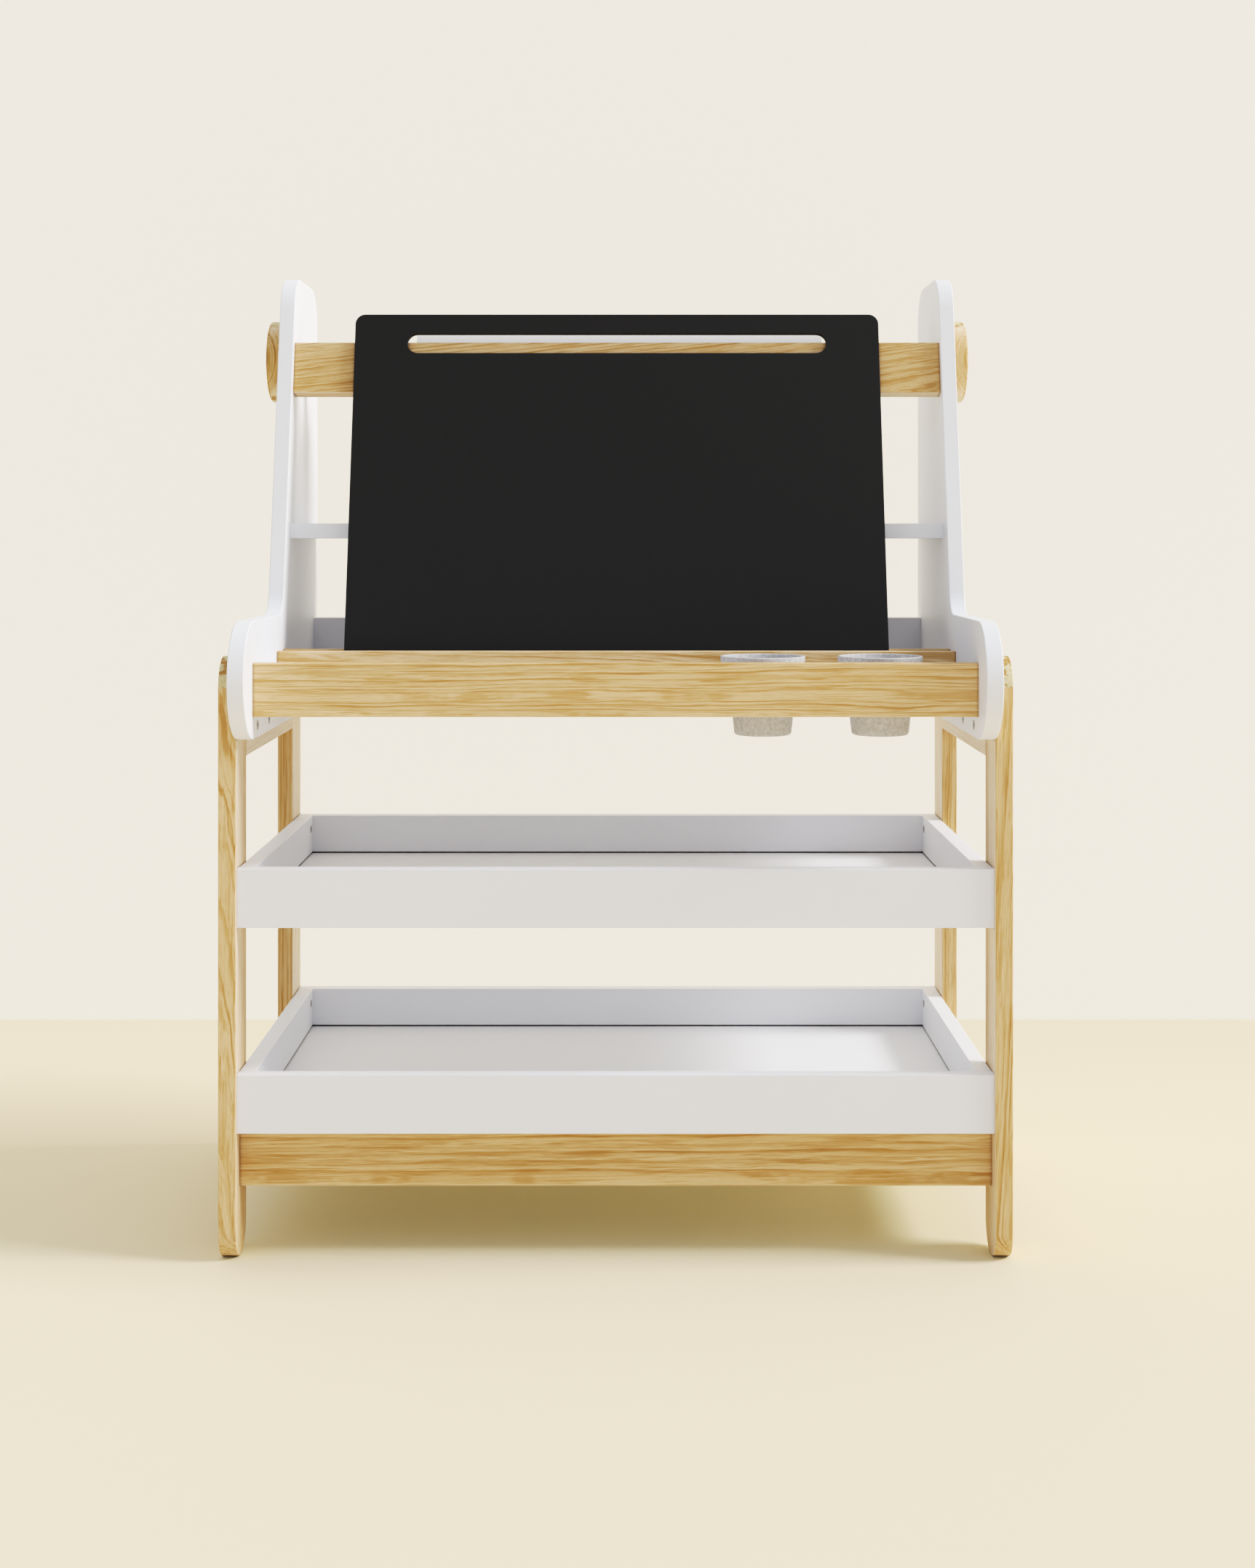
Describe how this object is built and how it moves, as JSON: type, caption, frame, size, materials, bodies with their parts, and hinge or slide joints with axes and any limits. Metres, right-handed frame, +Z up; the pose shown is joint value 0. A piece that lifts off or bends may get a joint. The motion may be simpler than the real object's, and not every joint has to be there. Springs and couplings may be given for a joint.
{
  "type": "kids easel",
  "caption": "Child's wooden art easel on four legs, with a leaning chalkboard, a paper roll on a dowel, an art tray with drop-in cups, a shelf and storage trays.",
  "frame": {"origin": "on the floor, midway between the sides and midway between the front and the back of the side panels", "axes": "+X across to the viewer's right, +Y to the back, +Z up; the front faces -Y"},
  "size_m": [0.789, 0.4999, 1.005],
  "materials": {
    "pine": "clear matt lacquer on pine",
    "white_board": "satin white paint on fibreboard",
    "chalk_surface": "matt black chalkboard coating",
    "dowel_wood": "sanded pale wood",
    "knob_wood": "clear matt lacquer on pine",
    "drawing_paper": "uncoated drawing paper",
    "core_card": "spiral wound card",
    "cup_speckle": "fine grey speckle, matt",
    "bolt_metal": "pale zinc",
    "insert_metal": "plain",
    "screw_metal": "zinc plated",
    "peg_wood": "plain beech"
  },
  "bodies": {
    "frame": {"front_leg_left": "pine", "front_leg_right": "pine", "rear_leg_left": "pine", "rear_leg_right": "pine", "side_rail_left": "pine", "side_rail_right": "pine", "lower_side_rail_left": "pine", "lower_side_rail_right": "pine", "front_apron": "pine", "rear_apron": "pine", "front_rail": "pine", "art_tray_back": "pine", "channel_rail": "pine", "channel_ledge": "pine", "crossbar": "pine", "side_panel_left": "white_board", "side_panel_right": "white_board", "rear_rail": "white_board", "mid_shelf": "white_board", "art_tray_floor": "white_board", "bin_floor": "white_board", "lower_tray_front": "white_board", "lower_tray_rear": "white_board", "lower_tray_left": "white_board", "lower_tray_right": "white_board", "lower_tray_panel": "white_board", "middle_tray_front": "white_board", "middle_tray_rear": "white_board", "middle_tray_left": "white_board", "middle_tray_right": "white_board", "middle_tray_panel": "white_board", "panel_bolts": "bolt_metal", "tray_bolts": "bolt_metal", "threaded_inserts": "insert_metal", "panel_screws": "screw_metal", "joining_pegs": "peg_wood"},
    "inner_cup_body": {"cup_inner": "cup_speckle"},
    "outer_cup_body": {"cup_outer": "cup_speckle"},
    "board": {"chalkboard": "chalk_surface"},
    "roll_bar": {"roll_dowel": "dowel_wood", "knob_left": "knob_wood"},
    "end_knob": {"knob_right": "knob_wood"},
    "paper": {"paper_roll": "drawing_paper", "paper_core": "core_card"}
  },
  "joints": [
    {"name": "dowel_spin", "type": "hinge", "parent": "frame", "child": "roll_bar", "pos_m": [0, 0.147, 0.9146], "axis": [1, 0, 0], "continuous": true},
    {"name": "knob_pull", "type": "slide", "parent": "roll_bar", "child": "end_knob", "axis": [1, 0, 0], "range_m": [0, 0.06]},
    {"name": "paper_spin", "type": "hinge", "parent": "frame", "child": "paper", "pos_m": [0, 0.147, 0.9146], "axis": [1, 0, 0], "continuous": true},
    {"name": "cup_inner_lift", "type": "slide", "parent": "frame", "child": "inner_cup_body", "axis": [0, 0, 1], "range_m": [0, 0.12]},
    {"name": "cup_outer_lift", "type": "slide", "parent": "frame", "child": "outer_cup_body", "axis": [0, 0, 1], "range_m": [0, 0.12]},
    {"name": "chalkboard_lift", "type": "slide", "parent": "frame", "child": "board", "axis": [0, 0.2672, 0.9636], "range_m": [0, 0.1]}
  ]
}
